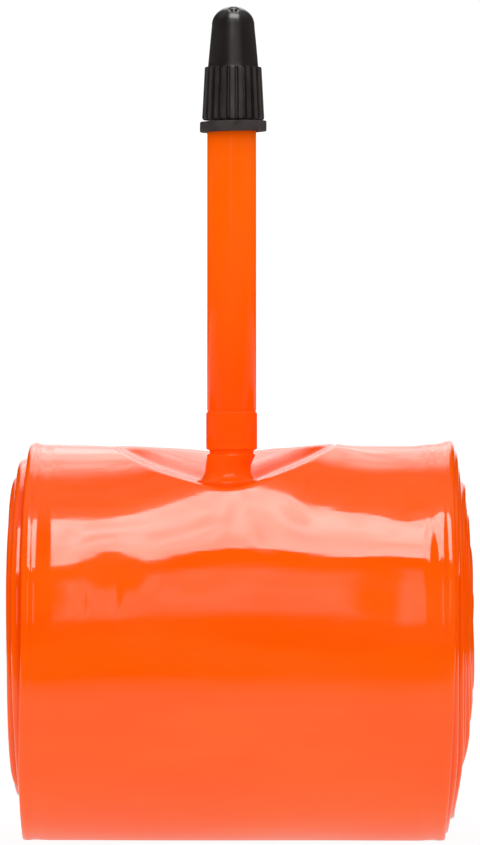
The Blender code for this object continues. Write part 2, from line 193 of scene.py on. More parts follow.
# A slow waviness all round, so that no part of the loose turn is a perfect cylinder: waves across,
# waves round, phase and height in mm.
SLOW_WAVES = [
    (1.3, 3.0, 0.4, 0.05),
    (2.2, 7.0, 2.1, 0.035),
    (0.6, 11.0, 4.0, 0.03),
    (3.1, 5.0, 5.2, 0.02),
]


def hill(x, direction, across, around, wide, tall, height):
    beside = (x / MM - across) / wide
    above = (direction - around) / tall
    return height * MM * np.exp(-beside * beside - above * above)


def film_waves(x, direction):
    """Soft undulation of the loose outer turn."""
    in_front = smooth((direction + 5.0) / 25.0)
    lift = hill(x, direction, *FRONT_BULGE) * in_front
    for place in FILM_HILLS:
        lift += hill(x, direction, *place)
    lift -= SAG * MM * np.exp(-(direction / SAG_HALF_ANGLE) ** 2)
    away_from_hills = smooth((np.abs(direction - 40.0) - 50.0) / 25.0)
    for across, around, phase, height in SLOW_WAVES:
        turn = across * x / HALF_WIDTH * math.pi + around * np.radians(direction) + phase
        lift += height * MM * np.sin(turn) * away_from_hills
    return lift


# Only directions near the top can meet the valve's hollow, and only those near the bottom the
# ground, by the cosine of their angle from the top. Where a direction meets the hollow, and how
# high the film is at a place, are found by repeated substitution.
HOLLOW_COSINE = 0.35
GROUND_COSINE = -0.85
HOLLOW_ROUNDS = 30
HEIGHT_ROUNDS = 40
GROUND_ROUNDING = 0.05 * MM


def pressed_radius(x, direction):
    """Outer radius of the roll once the valve and the ground have pressed it."""
    loose = free_radius(direction) + film_waves(x, direction)
    angle = np.radians(direction)
    up = np.cos(angle)
    near_top = up > HOLLOW_COSINE
    safe_up = np.where(near_top, up, 1.0)
    radius = loose.copy()
    for _ in range(HOLLOW_ROUNDS):
        radius = dent_height(x, ROLL_Y - radius * np.sin(angle)) / safe_up
    radius = np.where(near_top, soft_min(loose, radius, CREST_WIDTH), loose)
    under = up < GROUND_COSINE
    ground = ROLL_Z / np.where(under, -up, 1.0)
    return np.where(under, soft_min(radius, ground, GROUND_ROUNDING), radius)


def press(points):
    """Press a free roll's points into the shape that the valve, the ground and time gave it."""
    x = points[:, 0]
    y = points[:, 1] - ROLL_Y
    z = points[:, 2] - ROLL_Z
    radius = np.hypot(y, z)
    direction = np.degrees(np.arctan2(-y, z))
    free = free_radius(direction)
    share = np.clip((radius - CORE_RADIUS) / (free - CORE_RADIUS), 0.0, 1.05)
    change = pressed_radius(x, direction) - free
    moved = radius + np.minimum(change, 0.0) * share + np.maximum(change, 0.0) * share ** 4
    scale = moved / radius
    return np.column_stack([x, ROLL_Y + y * scale, ROLL_Z + z * scale])


def film_height(x, y):
    """Height of the roll's outer film under points given from above."""
    height = np.full_like(x, 20.0 * MM)
    for _ in range(HEIGHT_ROUNDS):
        direction = np.degrees(np.arctan2(-(y - ROLL_Y), height))
        height = pressed_radius(x, direction) * np.cos(np.radians(direction))
    return height + ROLL_Z


# How far in mm the inner turns have slid out of the roll: to the left in two equal steps, to the
# right a little more at every turn.
LEFT_STEP = 0.85
RIGHT_START = 0.35
RIGHT_REACH = 2.4
RIGHT_TURNS = 3.0


def run_edges(winding, side):
    """Lowest and highest X of a run.

    side is -1 where the tube winds inwards, 1 where it comes out again and 0 in a fold.
    """
    turn = winding / 360.0
    direction = (winding + TAIL_ANGLE + 180.0) % 360.0 - 180.0
    under = smooth((abs(direction) - 120.0) / 40.0)
    if side < 0:
        more_on_top = 1.0 + 0.3 * math.cos(math.radians(direction))
        drift = -LEFT_STEP * smooth((turn - 0.85) / 0.3) * more_on_top
        drift -= LEFT_STEP * smooth((turn - 2.0 - 0.65 * under) / 0.3)
    elif side > 0:
        slid = RIGHT_START + RIGHT_REACH * (1.0 - math.exp(-turn / RIGHT_TURNS))
        drift = slid * smooth(turn / 0.15) * (1.0 - 0.65 * under)
    else:
        drift = 0.0
    drift *= smooth(TURNS - turn)
    # The outer turn lies a little askew: to the right in front, to the left underneath and behind.
    drift += 0.25 * np.clip(1.0 - abs(turn - 0.4) / 0.6, 0.0, 1.0)
    drift -= 0.9 * smooth((turn - 0.35) / 0.4) * smooth((1.2 - turn) / 0.4)
    # No edge is quite straight.
    drift += 0.1 * math.sin(turn * 9.0 + side) + 0.06 * math.sin(turn * 23.0 + 2.0 * side)
    half = HALF_WIDTH - 0.25 * MM * under
    return drift * MM - half, drift * MM + half


def edge_outline(fine):
    """Points (inset, height, puff) of a fold edge: a round bead, a trough and the lifted film."""
    round_steps = 8 if fine else 3
    points = []
    for step in range(1, round_steps + 1):
        angle = math.pi / 2 * step / round_steps
        points.append((BEAD_REACH * (1 - math.cos(angle)), BEAD_HALF_HEIGHT * math.sin(angle), 0.0))
    fade_steps = 6 if fine else 2
    for step in range(1, fade_steps + 1):
        share = step / fade_steps
        drop = 0.5 * (1 + math.cos(math.pi * share))
        height = HALF_WALL + (BEAD_HALF_HEIGHT - HALF_WALL) * drop
        points.append((BEAD_REACH + BEAD_FADE * share, height, 0.0))
    if fine:
        for step in range(1, PUFF_STEPS + 1):
            share = step / PUFF_STEPS
            lift = 0.5 * (1 - math.cos(math.pi * share))
            inset = BEAD_REACH + BEAD_FADE + PUFF_REACH * share
            points.append((inset, HALF_WALL, PUFF_HEIGHT * lift))
    return points


def run_section(fine):
    """Closed outline across a flattened run: rows of (share of the width, offset, height, puff)."""
    edge = edge_outline(fine)
    columns = FINE_COLUMNS if fine else COARSE_COLUMNS
    reach = edge[-1][0]
    top = [(0.0, inset, height, puff) for inset, height, puff in edge]
    for step in range(1, columns):
        share = step / columns
        top.append((share, reach * (1.0 - 2.0 * share), HALF_WALL, edge[-1][2]))
    top += [(1.0, -inset, height, puff) for inset, height, puff in reversed(edge)]
    low_edge = edge_outline(False)
    bottom = [(1.0, -inset, -height, 0.0) for inset, height, _ in low_edge]
    for step in range(1, COARSE_COLUMNS):
        share = 1.0 - step / COARSE_COLUMNS
        bottom.append((share, low_edge[-1][0] * (1.0 - 2.0 * share), -HALF_WALL, 0.0))
    bottom += [(0.0, inset, -height, 0.0) for inset, height, _ in reversed(low_edge)]
    return np.array([(0.0, 0.0, 0.0, 0.0)] + top + [(1.0, 0.0, 0.0, 0.0)] + bottom)


def section_places(section):
    """How far round its outline each point of a section is: 0 to 0.5 over the top, then 1 below."""
    across = section[:, 0] + section[:, 1] / (2 * HALF_WIDTH)
    far_edge = int(np.where((section[:, 0] == 1.0) & (section[:, 1] == 0.0))[0][0])
    return np.where(np.arange(len(section)) <= far_edge, 0.5 * across, 1.0 - 0.5 * across)


def path_row(winding, turn, side):
    """One step along the tube: the run's middle, its normal and its edges, in the roll's plane."""
    angle = math.radians(winding + TAIL_ANGLE)
    out = np.array([-math.sin(angle), math.cos(angle)])
    along = np.array([-math.cos(angle), -math.sin(angle)])
    middle = TAIL_RADIUS - HALF_WALL - TURN_PITCH * winding / 360.0 - RUN_STEP / 2
    reach = RUN_STEP / 2
    centre = out * (middle + reach * math.cos(turn)) + along * reach * math.sin(turn)
    normal = out * math.cos(turn) + along * math.sin(turn)
    low, high = run_edges(winding, side)
    return centre, normal, low, high


def tube_path():
    """Every step along the closed tube: its winding, its row, and whether it is finely made."""
    end = TURNS * 360.0
    fine = np.concatenate([
        np.arange(0.0, DENT_FROM, FINE_STEP),
        np.arange(DENT_FROM, DENT_TO, DENT_STEP),
        np.arange(DENT_TO, FINE_END, FINE_STEP),
    ])
    coarse_outer = np.arange(FINE_END + COARSE_STEP, end + 0.1, COARSE_STEP)
    coarse_inner = np.arange(end, -0.1, -COARSE_STEP)
    rows = [(winding, path_row(winding, 0.0, -1.0), True) for winding in fine]
    rows += [(winding, path_row(winding, 0.0, -1.0), False) for winding in coarse_outer]
    for step in range(1, FOLD_STEPS):
        rows.append((end, path_row(end, math.pi * step / FOLD_STEPS, 0.0), False))
    rows += [(winding, path_row(winding, math.pi, 1.0), False) for winding in coarse_inner]
    for step in range(1, FOLD_STEPS):
        rows.append((0.0, path_row(0.0, math.pi * (1 + step / FOLD_STEPS), 0.0), False))
    return rows


def zip_rings(first, first_places, second, second_places):
    """Triangles between two rings of different counts, walking both outlines together."""
    # A ring ends at place 1, and one that has been walked round waits for the other at place 2.
    first_ends = [*first_places[1:], 1.0, 2.0]
    second_ends = [*second_places[1:], 1.0, 2.0]
    faces = []
    here = 0
    there = 0
    while here < len(first) or there < len(second):
        next_here = first_ends[here]
        next_there = second_ends[there]
        start = first[here % len(first)]
        across = second[there % len(second)]
        if next_here <= next_there:
            faces.append((start, first[(here + 1) % len(first)], across))
            here += 1
        else:
            faces.append((start, second[(there + 1) % len(second)], across))
            there += 1
    return faces


def rolled_film(material):
    sections = {True: run_section(True), False: run_section(False)}
    places = {fine: section_places(section) for fine, section in sections.items()}
    points = []
    rings = []
    count = 0
    for winding, (centre, normal, low, high), fine in tube_path():
        section = sections[fine]
        height = section[:, 2] + section[:, 3] * smooth(winding / PUFF_FADE)
        x = low * (1 - section[:, 0]) + high * section[:, 0] + section[:, 1]
        y = ROLL_Y + centre[0] + normal[0] * height
        z = ROLL_Z + centre[1] + normal[1] * height
        points.append(np.column_stack([x, y, z]))
        rings.append((range(count, count + len(section)), places[fine]))
        count += len(section)
    points = press(np.vstack(points))
    faces = []
    for index, (ring, ring_places) in enumerate(rings):
        following, following_places = rings[(index + 1) % len(rings)]
        size = len(ring)
        if size == len(following):
            faces += [(ring[k], ring[(k + 1) % size], following[(k + 1) % size], following[k])
                      for k in range(size)]
        else:
            faces += zip_rings(ring, ring_places, following, following_places)
    film = add_mesh("film_roll", points, faces, material)
    return stands_for(film, "tube", "film", "rolled_tube")


# ---------------------------------------------------------------- turned pieces

def lathe(name, outline, steps, material, closed=False, adjust=None, lean=None, reshape=None,
          sharp=35.0):
    """Turn (radius, height) points, in metres, about the valve's axis.

    adjust gives the factor of a radius at an angle and height, lean the shift in X at a height, and
    reshape moves all the points at the end. closed joins the outline's end to its start.
    """
    points = []
    rings = []
    for radius, height in outline:
        axis_x = VALVE_X + (lean(height) if lean else 0.0)
        if radius < 1e-9:
            rings.append([len(points)])
            points.append((axis_x, VALVE_Y, height))
            continue
        rings.append(list(range(len(points), len(points) + steps)))
        for step in range(steps):
            angle = 2 * math.pi * step / steps
            here = radius * adjust(angle, height, radius) if adjust else radius
            x = axis_x + here * math.cos(angle)
            points.append((x, VALVE_Y + here * math.sin(angle), height))
    if reshape:
        points = reshape(np.array(points))
    pairs = list(zip(rings, rings[1:]))
    if closed:
        pairs.append((rings[-1], rings[0]))
    faces = []
    for upper, lower in pairs:
        for step in range(steps):
            after = (step + 1) % steps
            corners = [upper[step % len(upper)], lower[step % len(lower)],
                       lower[after % len(lower)], upper[after % len(upper)]]
            faces.append(tuple(dict.fromkeys(corners)))
    return add_mesh(name, points, faces, material, sharp)


# The stem, in mm: radii of its shaft, sleeve, neck, flare and foot, of the bore that holds the
# valve core and of the air passage below it, and the heights where these begin or end.
STEM_RADIUS = 3.1
SLEEVE_RADIUS = 3.22
NECK_RADIUS = 2.75
FLARE_RADIUS = 3.06
FOOT_RADIUS = 4.15
BORE_RADIUS = 2.65
AIR_RADIUS = 1.8
STEM_TOP = 90.4
BORE_FOOT = 74.3
SLEEVE_TOP = 53.9
SLEEVE_FOOT = 49.6
FLARE_TOP = 48.6
FLARE_HEIGHT = 3.3
FLARE_STEPS = 16
FOOT_LEAN = -0.45 * MM


def stem_lean(height):
    """The soft foot has set a little to one side of the stem."""
    return FOOT_LEAN * smooth((49.2 - height / MM) / 2.2)


def stem(material):
    """The long moulded stem: a sleeve at its lower end, a narrow neck and a flared foot."""
    bottom = STEM_LOW.z / MM - 0.4
    outline = [
        (BORE_RADIUS, STEM_TOP - 0.2),
        (BORE_RADIUS + 0.1, STEM_TOP),
        (STEM_RADIUS - 0.1, STEM_TOP),
        (STEM_RADIUS, STEM_TOP - 0.15),
        (STEM_RADIUS, SLEEVE_TOP + 0.45),
        (STEM_RADIUS - 0.06, SLEEVE_TOP + 0.35),
        (STEM_RADIUS - 0.06, SLEEVE_TOP + 0.22),
        (SLEEVE_RADIUS - 0.1, SLEEVE_TOP + 0.12),
        (SLEEVE_RADIUS, SLEEVE_TOP),
        (SLEEVE_RADIUS, SLEEVE_FOOT),
        (SLEEVE_RADIUS - 0.06, SLEEVE_FOOT - 0.25),
        (NECK_RADIUS + 0.1, SLEEVE_FOOT - 0.35),
        (NECK_RADIUS, SLEEVE_FOOT - 0.55),
        (NECK_RADIUS + 0.05, FLARE_TOP + 0.25),
        (FLARE_RADIUS - 0.08, FLARE_TOP + 0.16),
        (FLARE_RADIUS, FLARE_TOP),
    ]
    for step in range(1, FLARE_STEPS + 1):
        share = step / FLARE_STEPS
        radius = FLARE_RADIUS - 0.26 + 0.26 * (1 - share) ** 3 + 1.25 * share ** 5
        outline.append((radius, FLARE_TOP - FLARE_HEIGHT * share))
    outline += [
        (FOOT_RADIUS, FLARE_TOP - FLARE_HEIGHT - 0.2),
        (FOOT_RADIUS, bottom),
        (AIR_RADIUS, bottom),
        (AIR_RADIUS, BORE_FOOT - 0.3),
        (BORE_RADIUS, BORE_FOOT),
    ]
    outline = [(radius * MM, height * MM) for radius, height in outline]
    piece = lathe("stem_moulding", outline, 96, material, closed=True, lean=stem_lean)
    return stands_for(piece, "tube", "stem", "valve_stem")


PATCH_RADIUS = 6.0 * MM
PATCH_HOLE = 3.0 * MM
PATCH_RINGS = 14
PATCH_STEPS = 72
PATCH_EDGE = 0.02 * MM
PATCH_EXTRA = 0.08 * MM          # how much thicker it is away from its rim
PATCH_DEPTH = 0.15 * MM


def patch(material):
    """The reinforcing disc, lying on the film and thinning out to its rim."""
    points = []
    for ring in range(PATCH_RINGS + 1):
        share = ring / PATCH_RINGS
        for step in range(PATCH_STEPS):
            angle = 2 * math.pi * step / PATCH_STEPS
            reach = PATCH_HOLE + (PATCH_RADIUS - PATCH_HOLE) * share
            x = VALVE_X + FOOT_LEAN + reach * math.cos(angle)
            points.append((x, VALVE_Y + reach * math.sin(angle), share))
    points = np.array(points)
    height = film_height(points[:, 0], points[:, 1])
    thickness = PATCH_EXTRA * (1 - smooth((points[:, 2] - 0.6) / 0.4)) + PATCH_EDGE
    top = np.column_stack([points[:, 0], points[:, 1], height + thickness])
    base = np.column_stack([points[:, 0], points[:, 1], height - PATCH_DEPTH])
    faces = []
    count = len(points)
    last_ring = PATCH_RINGS * PATCH_STEPS
    for step in range(PATCH_STEPS):
        after = (step + 1) % PATCH_STEPS
        for ring in range(PATCH_RINGS):
            a, b = ring * PATCH_STEPS + step, ring * PATCH_STEPS + after
            c, d = a + PATCH_STEPS, b + PATCH_STEPS
            faces.append((a, c, d, b))
            faces.append((a + count, b + count, d + count, c + count))
        a, b = last_ring + step, last_ring + after
        faces.append((a, a + count, b + count, b))
        faces.append((step, after, after + count, step + count))
    piece = add_mesh("patch_disc", np.vstack([top, base]), faces, material)
    return stands_for(piece, "tube", "film", "valve_patch")


# The dust cap, in mm: its ribbed skirt narrows upwards to a step, and its neck to a round tip.
SKIRT_RADIUS = 3.92
SKIRT_TAPER = 0.32
CAP_SKIRT_TOP = 97.5
CAP_NECK_RADIUS = 3.18
CAP_NECK_TAPER = 0.48
CAP_DOME_BASE = 102.8
CAP_TOP = CAP_HIGH.z / MM
CAP_BORE = 2.95
CAP_BORE_TOP = 98.0
NUT_ROOM_RADIUS = 2.2
NUT_ROOM_TOP = 102.2
TIP_ROOM_RADIUS = 1.1
TIP_ROOM_TOP = 103.9
CAP_SMOOTH_INSIDE = 3.2
DOME_STEPS = 64
RIBS = 22
RIB_DEPTH = 0.5
RIB_MEAN_RADIUS = 3.75
CAP_ASIDE = 0.19 * MM


def rib_factor(angle, height, radius):
    """How far the ribbed skirt stands in at an angle, as a share of its radius there."""
    level = height / MM
    if radius < CAP_SMOOTH_INSIDE * MM or level > CAP_SKIRT_TOP + 0.02 or level < CAP_LOW.z / MM:
        return 1.0
    phase = abs((angle * RIBS / (2 * math.pi)) % 1.0 - 0.5) * 2.0
    groove = smooth((phase - 0.5) / 0.2)
    return 1.0 - RIB_DEPTH * groove / RIB_MEAN_RADIUS


def cap_lean(_height):
    """The cap sits a little to one side, in its thread's play."""
    return CAP_ASIDE


# The gate mark, in mm: its place on the dome, and the depth, radius and width of its ring.
GATE_FORWARD = 1.55
GATE_HEIGHT = 104.65
GATE_DEPTH = 0.13
GATE_RADIUS = 0.5
GATE_WIDTH = 0.15


def gate_mark(points):
    """Press the small round mark that moulding leaves into the dome, in front of its top."""
    centre_x = VALVE_X + CAP_ASIDE + 0.12 * MM
    centre = np.array([centre_x, VALVE_Y - GATE_FORWARD * MM, GATE_HEIGHT * MM])
    middle = np.array([VALVE_X, VALVE_Y, 102.0 * MM])
    offset = np.linalg.norm(points - centre, axis=1) / MM
    outer = points[:, 2] > CAP_DOME_BASE * MM
    depth = -GATE_DEPTH * np.exp(-((offset - GATE_RADIUS) / GATE_WIDTH) ** 2)
    depth += 0.08 * np.exp(-(offset / 0.25) ** 2)
    away = points - middle
    away /= np.linalg.norm(away, axis=1)[:, None]
    return points + away * (depth * outer * MM)[:, None]


def dust_cap(material):
    """The cap: hollow inside, ribbed skirt, step, neck and dome."""
    low = CAP_LOW.z / MM
    rib_foot = low + 0.34
    rib_top = CAP_SKIRT_TOP - 0.2
    tip_radius = CAP_NECK_RADIUS - CAP_NECK_TAPER
    narrow = SKIRT_RADIUS - SKIRT_TAPER
    outline = [
        (TIP_ROOM_RADIUS, TIP_ROOM_TOP),
        (NUT_ROOM_RADIUS, NUT_ROOM_TOP),
        (NUT_ROOM_RADIUS, CAP_BORE_TOP + 0.7),
        (CAP_BORE, CAP_BORE_TOP),
        (CAP_BORE, low + 0.1),
        (CAP_BORE + 0.05, low),
        (SKIRT_RADIUS - 0.37, low),
        (SKIRT_RADIUS - 0.2, low + 0.02),
        (SKIRT_RADIUS - 0.04, low + 0.14),
        (SKIRT_RADIUS, rib_foot),
    ]
    for step in range(1, 8):
        share = step / 8
        height = rib_foot + (rib_top - rib_foot) * share
        outline.append((SKIRT_RADIUS - SKIRT_TAPER * share, height))
    outline += [
        (narrow, rib_top),
        (narrow - 0.03, CAP_SKIRT_TOP - 0.06),
        (narrow - 0.1, CAP_SKIRT_TOP),
        (narrow - 0.25, CAP_SKIRT_TOP),
        (CAP_NECK_RADIUS + 0.04, CAP_SKIRT_TOP + 0.03),
        (CAP_NECK_RADIUS, CAP_SKIRT_TOP + 0.1),
    ]
    neck_tall = CAP_DOME_BASE - CAP_SKIRT_TOP - 0.1
    for step in range(1, 9):
        share = step / 8
        height = CAP_SKIRT_TOP + 0.1 + neck_tall * share
        outline.append((CAP_NECK_RADIUS - CAP_NECK_TAPER * share, height))
    for step in range(1, DOME_STEPS):
        angle = math.pi / 2 * step / DOME_STEPS
        height = CAP_DOME_BASE + (CAP_TOP - CAP_DOME_BASE) * math.sin(angle)
        outline.append((tip_radius * math.cos(angle), height))
    outline += [(0.0, CAP_TOP)]
    outline = [(radius * MM, height * MM) for radius, height in reversed(outline)]
    outline.append((0.0, TIP_ROOM_TOP * MM))
    piece = lathe("cap_moulding", outline, RIBS * 12, material, adjust=rib_factor, lean=cap_lean,
                  reshape=gate_mark, sharp=40.0)
    return stands_for(piece, "cap", "cap", "dust_cap")


RING_BORE = 3.4
RING_RADIUS = 4.2
RING_TILT = 0.02


def ring_tilt(points):
    """The soft ring has slipped a little higher on one side."""
    level = (RING_LOW.z + RING_HIGH.z) / 2
    lift = (points[:, 0] - VALVE_X) * RING_TILT + (points[:, 2] - level) * RING_TILT
    return points + np.column_stack([np.zeros(len(points)), np.zeros(len(points)), lift])


def stem_ring(material):
    """A flat rubber ring with small chamfers."""
    low = RING_LOW.z / MM
    high = RING_HIGH.z / MM
    outline = [
        (RING_BORE, high - 0.1),
        (RING_BORE + 0.1, high),
        (RING_RADIUS - 0.1, high),
        (RING_RADIUS, high - 0.12),
        (RING_RADIUS, low + 0.12),
        (RING_RADIUS - 0.1, low),
        (RING_BORE + 0.1, low),
        (RING_BORE, low + 0.1),
    ]
    outline = [(radius * MM, height * MM) for radius, height in outline]
    piece = lathe("ring_moulding", outline, 120, material, closed=True, lean=cap_lean,
                  reshape=ring_tilt)
    return stands_for(piece, "ring", "ring", "stem_ring")


# ---------------------------------------------------------------- materials

def new_material(name, colour, roughness):
    material = bpy.data.materials.new(name)
    material.use_nodes = True
    shader = material.node_tree.nodes["Principled BSDF"]
    shader.inputs["Base Color"].default_value = (*colour, 1.0)
    shader.inputs["Roughness"].default_value = roughness
    return material, shader


def math_node(tree, operation, first, second):
    node = tree.nodes.new("ShaderNodeMath")
    node.operation = operation
    for socket, value in zip(node.inputs, (first, second)):
        if isinstance(value, (int, float)):
            socket.default_value = value
        else:
            tree.links.new(value, socket)
    return node.outputs[0]


def noise(tree, stretch, detail=3.0):
    """Noise over the piece itself; stretch is its repeats in a metre along X, Y and Z."""
    place = tree.nodes.new("ShaderNodeTexCoord")
    mapping = tree.nodes.new("ShaderNodeMapping")
    mapping.inputs["Scale"].default_value = stretch
    tree.links.new(place.outputs["Object"], mapping.inputs["Vector"])
    texture = tree.nodes.new("ShaderNodeTexNoise")
    texture.inputs["Scale"].default_value = 1.0
    texture.inputs["Detail"].default_value = detail
    tree.links.new(mapping.outputs["Vector"], texture.inputs["Vector"])
    return texture.outputs["Fac"]


def spread(tree, value, low, high, to_low, to_high):
    """value's range from low to high, eased onto another range."""
    node = tree.nodes.new("ShaderNodeMapRange")
    node.interpolation_type = "SMOOTHSTEP"
    tree.links.new(value, node.inputs["Value"])
    node.inputs["From Min"].default_value = low
    node.inputs["From Max"].default_value = high
    node.inputs["To Min"].default_value = to_low
    node.inputs["To Max"].default_value = to_high
    return node.outputs["Result"]


def mix_colours(tree, share, first, second):
    node = tree.nodes.new("ShaderNodeMix")
    node.data_type = "RGBA"
    tree.links.new(share, node.inputs["Factor"])
    sockets = [entry for entry in node.inputs if entry.type == "RGBA"]
    for target, colour in zip(sockets, (first, second)):
        if isinstance(colour, tuple):
            target.default_value = (*colour, 1.0)
        else:
            tree.links.new(colour, target)
    return [entry for entry in node.outputs if entry.type == "RGBA"][0]


def add_bump(tree, shader, layers):
    """Fine relief: layers of (noise stretch, height in metres)."""
    normal = None
    for stretch, height in layers:
        bump = tree.nodes.new("ShaderNodeBump")
        bump.inputs["Distance"].default_value = height
        tree.links.new(noise(tree, stretch), bump.inputs["Height"])
        if normal is not None:
            tree.links.new(normal, bump.inputs["Normal"])
        normal = bump.outputs["Normal"]
    tree.links.new(normal, shader.inputs["Normal"])


def finish_surface(material, shader, colours, patches, roughness, relief, worn):
    """Blotches of two colours, uneven roughness with worn spots, and fine relief."""
    tree = material.node_tree
    share = spread(tree, noise(tree, patches), 0.36, 0.64, 0.0, 1.0)
    colour = mix_colours(tree, share, *colours)
    small_patches = tuple(2.7 * repeat for repeat in patches)
    scuffs = spread(tree, noise(tree, small_patches, 6.0), 0.6, 0.72, 0.0, 1.0)
    other_patches = tuple(1.3 * repeat for repeat in patches)
    even = spread(tree, noise(tree, other_patches), 0.35, 0.65, *roughness)
    tree.links.new(math_node(tree, "ADD", even, math_node(tree, "MULTIPLY", scuffs, worn)),
                   shader.inputs["Roughness"])
    tree.links.new(colour, shader.inputs["Base Color"])
    add_bump(tree, shader, relief)


ORANGE_DEEP = (1.0, 0.094, 0.0003)
ORANGE_PALE = (1.0, 0.106, 0.0016)


def film_material():
    """Glossy film: faint cloudy streaks along the roll's axis and very fine ripples."""
    material, shader = new_material("film", ORANGE_DEEP, 0.07)
    shader.inputs["IOR"].default_value = 1.5
    relief = [((90.0, 260.0, 260.0), 0.00003), ((90.0, 1700.0, 1700.0), 0.000004)]
    colours = (ORANGE_DEEP, ORANGE_PALE)
    streaks = (45.0, 150.0, 150.0)
    finish_surface(material, shader, colours, streaks, (0.045, 0.1), relief, 0.05)
    return material


def height_share(tree, low, high):
    """0 below a height and 1 above another, in metres, eased between them."""
    place = tree.nodes.new("ShaderNodeTexCoord")
    parts = tree.nodes.new("ShaderNodeSeparateXYZ")
    tree.links.new(place.outputs["Object"], parts.inputs["Vector"])
    return spread(tree, parts.outputs["Z"], low, high, 0.0, 1.0)


# The stem's two blotch colours with painted light in them, each at its foot (painted highlight),
# just above the foot (painted shade) and at its top (lit from above).
STEM_PAINTED_LIGHT_COLOURS = [
    ((1.0, 0.099, 0.0003), (1.0, 0.084, 0.0002), (1.0, 0.116, 0.0002)),
    ((1.0, 0.104, 0.0006), (1.0, 0.09, 0.0006), (1.0, 0.124, 0.0008)),
]


def stem_material():
    """Smooth moulding with painted light: paler towards its top where more light falls from above,
    painted shade darker towards its lower end, and a painted highlight that makes it paler again at
    its foot.
    """
    material, shader = new_material("stem_plastic", ORANGE_DEEP, 0.14)
    shader.inputs["IOR"].default_value = 1.2
    tree = material.node_tree
    # Painted light: the colour gets paler up the shaft where more light falls, and the foot's paler
    # colour is a painted highlight.
    shaft = height_share(tree, 0.05, 0.085)
    above_foot = height_share(tree, 0.049, 0.0505)
    lit_and_shaded_colours = []
    for highlit_foot_colour, shaded_low_colour, lit_top_colour in STEM_PAINTED_LIGHT_COLOURS:
        lit_shaft_colour = mix_colours(tree, shaft, shaded_low_colour, lit_top_colour)
        lit_and_shaded_colours.append(mix_colours(tree, above_foot, highlit_foot_colour, lit_shaft_colour))
    relief = [((900.0, 900.0, 500.0), 0.000004), ((3500.0, 3500.0, 3500.0), 0.0000015)]
    finish_surface(material, shader, lit_and_shaded_colours, (220.0, 220.0, 90.0), (0.1, 0.18), relief, 0.08)
    return material


def cap_material():
    """Black moulding: drawn lengthwise, polished at its tip, paler on its ribbed skirt."""
    material, shader = new_material("cap_plastic", (0.01, 0.008, 0.008), 0.45)
    shader.inputs["IOR"].default_value = 1.4
    shader.inputs["Anisotropic"].default_value = 0.9
    shader.inputs["Anisotropic Rotation"].default_value = 0.25
    shader.inputs["Coat Roughness"].default_value = 0.2
    shader.inputs["Coat IOR"].default_value = 1.45
    tree = material.node_tree
    tangent = tree.nodes.new("ShaderNodeTangent")
    tangent.direction_type = "RADIAL"
    tangent.axis = "Z"
    tree.links.new(tangent.outputs["Tangent"], shader.inputs["Tangent"])
    tip = height_share(tree, 0.1, 0.1025)
    tree.links.new(spread(tree, tip, 0.0, 1.0, 0.2, 0.95), shader.inputs["Coat Weight"])
    # The ribbed skirt gets a paler colour than the smooth neck and dome.
    smooth_part = height_share(tree, CAP_SKIRT_TOP * MM - 0.0001, CAP_SKIRT_TOP * MM + 0.0002)
    dark = mix_colours(tree, smooth_part, (0.021, 0.0165, 0.0145), (0.0105, 0.0072, 0.006))
    pale = mix_colours(tree, smooth_part, (0.032, 0.026, 0.024), (0.0145, 0.01, 0.0085))
    relief = [((1100.0, 1100.0, 500.0), 0.000005), ((4500.0, 4500.0, 4500.0), 0.000002)]
    finish_surface(material, shader, (dark, pale), (500.0, 500.0, 250.0), (0.44, 0.53), relief, 0.1)
    return material


def rubber_material(name, dark, pale):
    material, shader = new_material(name, dark, 0.75)
    shader.inputs["IOR"].default_value = 1.35
    relief = [((1500.0, 1500.0, 1500.0), 0.00001), ((5000.0, 5000.0, 5000.0), 0.000005)]
    finish_surface(material, shader, (dark, pale), (600.0, 600.0, 600.0), (0.7, 0.85), relief, 0.1)
    return material


def metal_material(name, deep, bright):
    """Turned metal: fine marks run round the piece."""
    material, shader = new_material(name, bright, 0.3)
    shader.inputs["Metallic"].default_value = 0.7
    relief = [((150.0, 150.0, 9000.0), 0.000002), ((700.0, 700.0, 700.0), 0.000003)]
    patches = (350.0, 350.0, 700.0)
    finish_surface(material, shader, (deep, bright), patches, (0.3, 0.42), relief, 0.12)
    return material


def dress_cad_nodes():
    """The valve's inner pieces keep their CAD shapes and get turned metal and rubber."""
    brass = metal_material("turned_brass", (0.6, 0.42, 0.15), (0.76, 0.56, 0.24))
    nickel = metal_material("nickel_plate", (0.66, 0.64, 0.6), (0.8, 0.78, 0.73))
    seal = rubber_material("seal_rubber", (0.02, 0.019, 0.018), (0.036, 0.034, 0.032))
    dress = {"stem_insert": brass, "core_body": nickel, "valve_pin": nickel, "lock_nut": nickel,
             "core_seal": seal, "pin_seal": seal}
    for name, material in dress.items():
        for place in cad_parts[name].material_slots:
            place.material = material


# ---------------------------------------------------------------- floor, light and camera

# The floor in metres: its front edge, where it has become solid, its back edge and its half width;
# then its glow, and how much dimmer it is in reflections.
FLOOR_FRONT = -0.11
FLOOR_SOLID = -0.045
FLOOR_BACK = 1.6
FLOOR_SIDE = 0.8
FLOOR_GLOW = 0.94
FLOOR_DIMMED = 0.2


